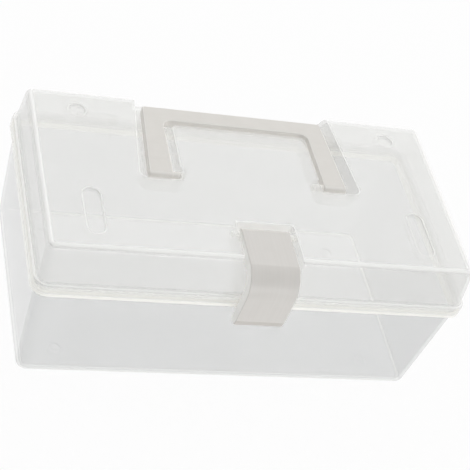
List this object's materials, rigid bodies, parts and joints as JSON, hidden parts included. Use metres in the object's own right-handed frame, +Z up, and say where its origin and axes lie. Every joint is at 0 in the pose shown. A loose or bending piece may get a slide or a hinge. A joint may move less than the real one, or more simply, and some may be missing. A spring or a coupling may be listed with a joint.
{
  "type": "plastic carry box",
  "caption": "Translucent lidded storage box with a tapered tub, a hinged lid, a handle that folds flat into the lid and a front snap latch.",
  "frame": {"origin": "under the middle of the box, on the surface that its feet stand on", "axes": "+X along the length, +Y from the latch at the front to the hinge at the back, +Z up"},
  "size_m": [0.2476, 0.146, 0.1012],
  "materials": {
    "natural_polypropylene": "translucent, moulded with a light haze",
    "opaque_polypropylene": "satin, moulded",
    "pin_polypropylene": "satin, moulded"
  },
  "bodies": {
    "tub": {"tub": "natural_polypropylene", "hinge_pin_left": "pin_polypropylene", "hinge_pin_right": "pin_polypropylene"},
    "lid": {"lid": "natural_polypropylene"},
    "handle": {"handle": "opaque_polypropylene"},
    "latch": {"latch": "opaque_polypropylene"}
  },
  "joints": [
    {"name": "lid_hinge", "type": "hinge", "parent": "tub", "child": "lid", "pos_m": [0, 0.0696, 0.0728], "axis": [-1, 0, 0], "range_deg": [0, 105]},
    {"name": "handle_fold", "type": "hinge", "parent": "lid", "child": "handle", "pos_m": [0, 0.003, 0.0966], "axis": [1, 0, 0], "range_deg": [0, 120]},
    {"name": "latch_swing", "type": "hinge", "parent": "lid", "child": "latch", "pos_m": [0, -0.0376, 0.0967], "axis": [-1, 0, 0], "range_deg": [0, 100]}
  ]
}
